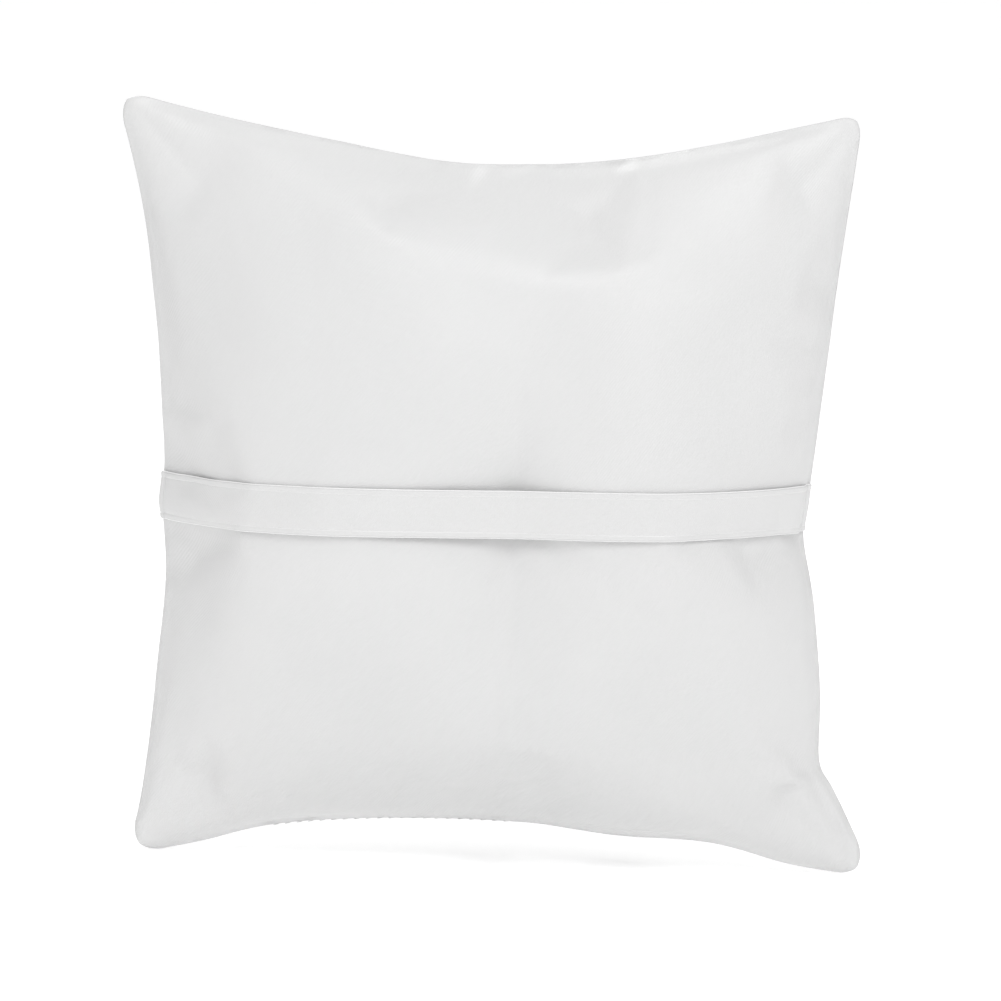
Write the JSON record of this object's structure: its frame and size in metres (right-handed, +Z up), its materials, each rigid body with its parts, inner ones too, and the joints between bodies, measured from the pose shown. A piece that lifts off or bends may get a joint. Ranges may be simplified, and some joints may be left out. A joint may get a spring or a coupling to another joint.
{
  "type": "ring bearer pillow",
  "caption": "Small square white satin pillow, pulled in at the middle, with a hand strap across its back and a ribbon bow with hanging tails on its front to tie wedding rings to.",
  "frame": {"origin": "on the surface the pillow stands on, under the middle of its outline, halfway between the strap's outer face and the front of the bow's loops", "axes": "+X to the right as the back is looked at, +Y from the back (strap) to the front (bow), +Z up"},
  "size_m": [0.2004, 0.0774, 0.198],
  "materials": {
    "white_satin": "satin",
    "satin_ribbon": "satin",
    "white_thread": "matte",
    "polyester_fibre": "matte"
  },
  "bodies": {
    "pillow": {"back_panel": "white_satin", "front_panel": "white_satin", "fibre_filling": "polyester_fibre", "seam_thread": "white_thread", "closing_thread": "white_thread", "centre_tack": "white_thread", "strap_end_left": "satin_ribbon", "strap_end_right": "satin_ribbon", "bow_knot": "satin_ribbon", "bow_loop_left": "satin_ribbon", "bow_loop_right": "satin_ribbon"},
    "strap_middle": {"hand_strap": "satin_ribbon"},
    "left_tail": {"bow_tail_left": "satin_ribbon"},
    "right_tail": {"bow_tail_right": "satin_ribbon"}
  },
  "joints": [
    {"name": "strap_lift", "type": "slide", "parent": "pillow", "child": "strap_middle", "axis": [0, -1, 0], "range_m": [0, 0.013]},
    {"name": "left_tail_swing", "type": "hinge", "parent": "pillow", "child": "left_tail", "pos_m": [-0.00107, 0.02248, 0.08413], "axis": [1, 0, 0], "range_deg": [0, 80]},
    {"name": "right_tail_swing", "type": "hinge", "parent": "pillow", "child": "right_tail", "pos_m": [0.01253, 0.02126, 0.08413], "axis": [1, 0, 0], "range_deg": [0, 80]}
  ]
}
